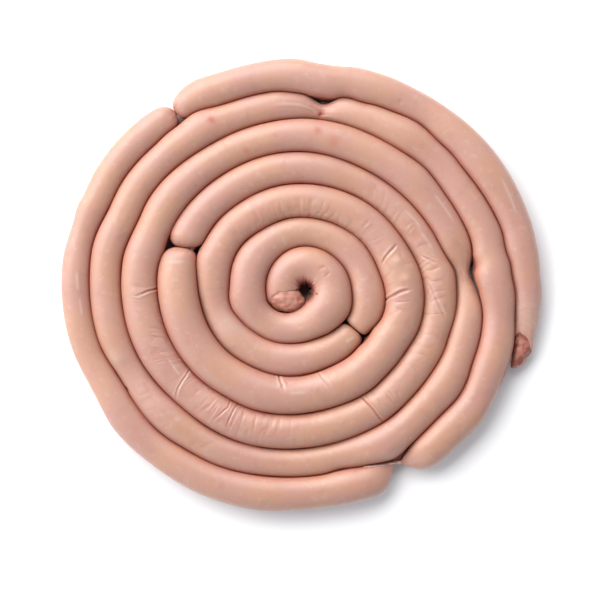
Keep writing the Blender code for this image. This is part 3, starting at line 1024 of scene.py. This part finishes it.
# Over this length the casing next to its rim shows the filling.
RIM_REACH = 2.2 * MM

# Outline of the filling at the inner open end, from inside the casing to its face:
# (way out of the casing, left, right, top, bottom) in MM from the middle of the eye.
INNER_MINCE = (
    (-7.0, -25.2, -6.6, 20.2, 1.2),
    (-3.0, -25.4, -5.2, 20.6, 1.0),
    (0.0, -25.6, -3.9, 21.0, 0.8),
    (2.6, -25.8, -1.9, 21.6, 0.6),
    (6.5, -26.4, 0.5, 21.4, 0.4),
    (9.6, -25.2, 1.2, 20.0, 0.5),
    (12.2, -23.4, 1.0, 18.2, 1.2),
    (14.2, -20.8, -0.4, 15.8, 2.4),
    (15.7, -17.6, -3.0, 13.4, 4.2),
    (16.6, -14.6, -6.4, 10.8, 6.4),
)
OUTER_MINCE_SHARE = 0.94
MINCE_RINGS = 56
MINCE_AROUND = 96


def rim_ahead(rim, base, walked, body):
    """Shift along the string that brings the first ring onto an uneven rim."""
    sections, angles = zip(*rim)
    rim_walked = walked_at(np.interp(SECTION_ANGLES, sections, angles))
    fade = smoothstep(1.0 - np.abs(walked - base) / abs(body - base))
    return (rim_walked - base)[None, :] * fade[:, None]


def rim_share(away):
    """The rim of an open end curls in a little."""
    left = np.clip(1.0 - away / RIM_CURL, 0.0, 1.0)
    return 1.0 - RIM_DROP * left * left


def build_link(link, material):
    head = HEADS.get(link.name)
    tail = TAILS.get(link.name)
    across = section_shape(SECTION_ANGLES)[0]
    curl = np.linspace(0.0, 1.0, RIM_RINGS) * RIM_CURL
    if head:
        front_tip, front_full, away = end_walk(head)
        front = front_tip + away
    else:
        front = walked_at(INNER_RIM_BASE) + curl
    if tail:
        back_tip, back_full, away = end_walk(tail)
        back = (back_tip - away)[::-1]
    else:
        back = walked_at(OUTER_RIM_BASE) - curl[::-1]
    body = ring_walk(front[-1], back[0])
    walked = np.concatenate([front[:-1], body[:-1], back])
    half = np.interp(angle_at(walked), ANGLES, INNER_HALF)
    if head:
        front_share = end_share(walked - front_tip, head, front_full)
        shift = half * (1.0 - front_share) * head.inwards
        ahead = skew_ahead(walked, front_tip, head, across) * (half * front_share)[:, None]
    else:
        front_share = rim_share(walked - front[0])
        shift = np.zeros(len(walked))
        ahead = rim_ahead(INNER_RIM, front[0], walked, walked_at(INNER_BODY))
    if tail:
        back_share = end_share(back_tip - walked, tail, back_full)
        shift = shift + half * (1.0 - back_share) * tail.inwards
        ahead = ahead + skew_ahead(walked, back_tip, tail, across) * (half * back_share)[:, None]
    else:
        back_share = rim_share(back[-1] - walked)
        taper = end_share(walked_at(OUTER_END.angle) - walked, OUTER_END, OUTER_FULL)
        back_share = back_share * taper
        shift = shift + half * (1.0 - taper) * OUTER_END.inwards
        ahead = ahead + rim_ahead(OUTER_RIM, back[-1], walked, walked_at(OUTER_BODY))
    skin = Skin(walked, front_share * back_share, shift, ahead)
    for crease in ALL_CREASES:
        skin.add_crease(crease)
    for band in WRINKLES:
        skin.add_wrinkles(band)
    for spot in SPOTS:
        skin.add_spot(spot)
    if not head:
        rim = walked_at(np.interp(SECTION_ANGLES, *zip(*INNER_RIM)))
        skin.add_rim(ahead + walked[:, None] - rim[None, :])
    if not tail:
        rim = walked_at(np.interp(SECTION_ANGLES, *zip(*OUTER_RIM)))
        skin.add_rim(rim[None, :] - walked[:, None] - ahead)
    seed = int(link.name[-1])
    if head:
        skin.add_end_pleats(head, front_tip, 60 + seed)
    if tail:
        skin.add_end_pleats(tail, back_tip, 70 + seed)
    skin.swell()
    skin.paint_contact_shade()
    skin.finish()
    piece = tube_mesh(link.name + "_skin", skin.points, material, skin.fields())
    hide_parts(link.name)


def surface_normals(points):
    along = np.gradient(points, axis=0)
    around = np.roll(points, -1, axis=1) - np.roll(points, 1, axis=1)
    normal = np.cross(around, along)
    return normal / np.maximum(np.linalg.norm(normal, axis=-1, keepdims=True), 1e-15)


def build_inner_mince(material):
    """Lumpy filling that bulges out of the open end in the middle of the coil."""
    table = np.array(INNER_MINCE) * MM
    rings = np.linspace(0.0, 1.0, MINCE_RINGS)
    rings = table[0, 0] + (table[-1, 0] - table[0, 0]) * (1.0 - (1.0 - rings) ** 1.6)
    left, right, top, bottom = (np.interp(rings, table[:, 0], table[:, column])
                                for column in (1, 2, 3, 4))
    turn = np.linspace(0.0, 360.0, MINCE_AROUND, endpoint=False)
    across, up = section_shape(turn)
    x = 0.5 * (left + right)[:, None] - 0.5 * (right - left)[:, None] * across[None, :]
    z = 0.5 * (top + bottom)[:, None] + 0.5 * (top - bottom)[:, None] * up[None, :]
    y = np.broadcast_to(-rings[:, None], x.shape)
    points = np.stack([x - CENTRE[0], y - CENTRE[1], z], axis=-1)
    grow = smoothstep((rings - 0.0) / (7.0 * MM))[:, None]
    lift = (0.55 * noise(points, 3.6 * MM, 80) + 0.40 * noise(points, 1.8 * MM, 81)) * MM
    points = points + surface_normals(points) * (lift * (0.25 + 0.75 * grow))[..., None]
    points[..., 2] = above_floor(points[..., 2])
    tube_mesh("link_1_mince", points[::-1], material)


def build_outer_mince(material):
    """Lumpy filling that tapers out of the outer open end."""
    start = walked_at(2349.0)
    stop = walked_at(OUTER_END.angle)
    walked = start + (stop - start) * np.sin(np.linspace(0.0, 0.5 * math.pi, 44))
    share = end_share(stop - walked, OUTER_END, OUTER_FULL)
    shift = np.interp(angle_at(walked), ANGLES, INNER_HALF) * (1.0 - share) * OUTER_END.inwards
    skin = Skin(walked, share * OUTER_MINCE_SHARE, shift, 0.0)
    lumps = 0.75 * noise(skin.points, 4.4 * MM, 90) + 0.40 * noise(skin.points, 2.2 * MM, 91)
    bare = smoothstep((walked - walked_at(OUTER_RIM_BASE)) / (4.0 * MM))
    skin.lift += lumps * MM * (0.1 + 0.9 * bare)[:, None]
    skin.finish()
    tube_mesh("link_7_mince", skin.points, material)


# A twist: the path of its casing from tail to head, as (angle, how far out of the middle
# of the string in MM, radius in MM, height as a share of the middle of the string).
TWISTS = {
    "twist_1": ((576.8, 0.0, 1.6, 1.0), (578.1, 0.0, 0.9, 1.0), (579.4, 0.0, 1.6, 1.0)),
    "twist_2": ((1097.6, -4.6, 1.8, 1.0), (1100.2, -6.4, 1.5, 1.0), (1103.4, -8.0, 1.2, 1.0)),
    "twist_3": ((1610.6, 0.0, 2.6, 1.0), (1612.6, 0.0, 1.6, 1.0), (1614.6, 0.0, 2.6, 1.0)),
    "twist_4": ((1893.6, -1.5, 2.6, 1.0), (1895.6, -1.5, 1.6, 1.0), (1897.6, -1.5, 2.6, 1.0)),
    "twist_5": ((2038.6, -0.8, 2.0, 1.0), (2040.5, -1.0, 1.4, 1.1), (2043.1, -3.1, 0.95, 1.5),
                (2045.0, -5.4, 0.8, 1.65), (2047.8, -9.0, 0.8, 1.6), (2051.5, -11.5, 0.7, 1.5)),
    "twist_6": ((2212.6, 0.0, 2.4, 1.0), (2214.0, 0.0, 1.4, 1.0), (2215.4, 0.0, 2.4, 1.0)),
}
TWIST_AROUND = 28
TWIST_RING_SPACE = 0.35 * MM
TWIST_PITCH = 5.0 * MM
TWIST_DEPTH = 0.20


def build_twist(name, path, material):
    """Bare casing twisted like a rope: a lobed section that turns along the path."""
    angles, outs, radii, heights = (np.array(column) for column in zip(*path))
    walked = walked_at(angles)
    steps = np.arange(walked[0], walked[-1], TWIST_RING_SPACE)
    blur = np.hanning(9)[1:-1] / np.hanning(9).sum()

    def smooth(values):
        level = np.interp(steps, walked, values)
        return np.convolve(np.pad(level, 3, mode="edge"), blur, mode="valid")

    turn = np.radians(angle_at(steps))
    radius = np.interp(angle_at(steps), ANGLES, MIDDLE) + smooth(outs) * MM
    height = np.interp(angle_at(steps), ANGLES, RISE) * HEIGHT_OVER_WIDTH * smooth(heights)
    line = np.stack([-radius * np.cos(turn) - CENTRE[0], radius * np.sin(turn) - CENTRE[1],
                     height], axis=-1)
    way = np.gradient(line, axis=0)
    way /= np.linalg.norm(way, axis=1, keepdims=True)
    side = np.cross(way, (0.0, 0.0, 1.0))
    side /= np.linalg.norm(side, axis=1, keepdims=True)
    top = np.cross(side, way)
    around = np.linspace(0.0, 2.0 * math.pi, TWIST_AROUND, endpoint=False)[None, :]
    spin = ((steps - steps[0]) * 2.0 * math.pi / TWIST_PITCH)[:, None]
    size = smooth(radii)[:, None] * MM * (1.0 + TWIST_DEPTH * np.cos(3.0 * around + spin))
    points = line[:, None] + size[..., None] * (np.cos(around)[..., None] * side[:, None]
                                                + np.sin(around)[..., None] * top[:, None])
    piece = tube_mesh(name + "_casing", points, material)
    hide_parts(name)


def main():
    skin = skin_material()
    casing = casing_material()
    for link in LINKS:
        build_link(link, skin)
    build_inner_mince(mince_material("inner_mince", *INNER_MINCE_TONES))
    build_outer_mince(mince_material("outer_mince", *OUTER_MINCE_TONES))
    for name, path in TWISTS.items():
        build_twist(name, path, casing)


# ---------------------------------------------------------------- stage, light, camera

FLOOR_SIZE = 6.0
# Strength of the sky by the sine of its elevation; the camera shades the part overhead.
SKY = ((0.0, 0.54), (0.30, 0.96), (0.60, 1.32), (0.75, 0.84), (0.84, 0.05), (1.0, 0.0))
# The sky is weaker on the far side than on the side of this azimuth.
SKY_AZIMUTH = 165.0
SKY_SIDES = (0.60, 1.45)
CAMERA_HEIGHT = 1.2
CAMERA_LENS = 99.0
CAMERA_PLACE = (-0.00124, -0.0110, 0.011 + CAMERA_HEIGHT)


def add_light(name, azimuth, elevation, distance, size, power, colour):
    """A square softbox that faces the part; azimuth 0 is from +X, 90 from +Y."""
    turn = math.radians(azimuth)
    rise = math.radians(elevation)
    light = bpy.data.lights.new(name, "AREA")
    light.shape = "RECTANGLE"
    light.size, light.size_y = size
    light.energy = power
    light.color = colour
    lamp = bpy.data.objects.new(name, light)
    lamp.location = (distance * math.cos(rise) * math.cos(turn),
                     distance * math.cos(rise) * math.sin(turn),
                     distance * math.sin(rise))
    lamp.rotation_euler = (math.radians(90.0) - rise, 0.0, turn + math.radians(90.0))
    bpy.context.scene.collection.objects.link(lamp)
    return lamp


def build_world():
    """Soft light from all round, brighter on the key light's side."""
    world = bpy.data.worlds.new("studio")
    world.use_nodes = True
    tree = world.node_tree

    def add(kind, **values):
        node = tree.nodes.new(kind)
        for key, value in values.items():
            setattr(node, key, value)
        return node

    place = add("ShaderNodeTexCoord")
    split = add("ShaderNodeSeparateXYZ")
    tree.links.new(place.outputs["Generated"], split.inputs["Vector"])
    rise = add("ShaderNodeFloatCurve")
    curve = rise.mapping.curves[0]
    for index, (height, strength) in enumerate(SKY):
        if index < 2:
            curve.points[index].location = (height, strength)
        else:
            curve.points.new(height, strength)
    rise.mapping.update()
    tree.links.new(split.outputs["Z"], rise.inputs["Value"])
    turn = math.radians(SKY_AZIMUTH)
    side = add("ShaderNodeVectorMath", operation="DOT_PRODUCT")
    side.inputs[1].default_value = (math.cos(turn), math.sin(turn), 0.0)
    tree.links.new(place.outputs["Generated"], side.inputs[0])
    spread = add("ShaderNodeMapRange", interpolation_type="SMOOTHSTEP")
    for socket, value in zip(list(spread.inputs)[1:5], (-1.0, 1.0, *SKY_SIDES)):
        socket.default_value = value
    tree.links.new(side.outputs["Value"], spread.inputs["Value"])
    strength = add("ShaderNodeMath", operation="MULTIPLY")
    tree.links.new(rise.outputs["Value"], strength.inputs[0])
    tree.links.new(spread.outputs["Result"], strength.inputs[1])
    back = tree.nodes["Background"]
    back.inputs["Color"].default_value = (0.91, 0.94, 1.0, 1.0)
    tree.links.new(strength.outputs["Value"], back.inputs["Strength"])
    bpy.context.scene.world = world


def build_stage():
    mesh = bpy.data.meshes.new("floor")
    half = 0.5 * FLOOR_SIZE
    mesh.from_pydata([(-half, -half, 0.0), (half, -half, 0.0), (half, half, 0.0), (-half, half, 0.0)],
                     [], [(0, 1, 2, 3)])
    mesh.materials.append(floor_material())
    floor = bpy.data.objects.new("floor", mesh)
    bpy.context.scene.collection.objects.link(floor)

    build_world()
    add_light("key", 128.0, 42.0, 2.2, (2.9, 2.0), 88.0, (1.0, 0.985, 0.965))

    camera = bpy.data.cameras.new("camera")
    camera.lens = CAMERA_LENS
    camera.sensor_width = 36.0
    camera.clip_end = 20.0
    item = bpy.data.objects.new("camera", camera)
    item.location = CAMERA_PLACE
    bpy.context.scene.collection.objects.link(item)
    bpy.context.scene.camera = item
    bpy.context.scene.view_settings.view_transform = "Standard"


main()
build_stage()
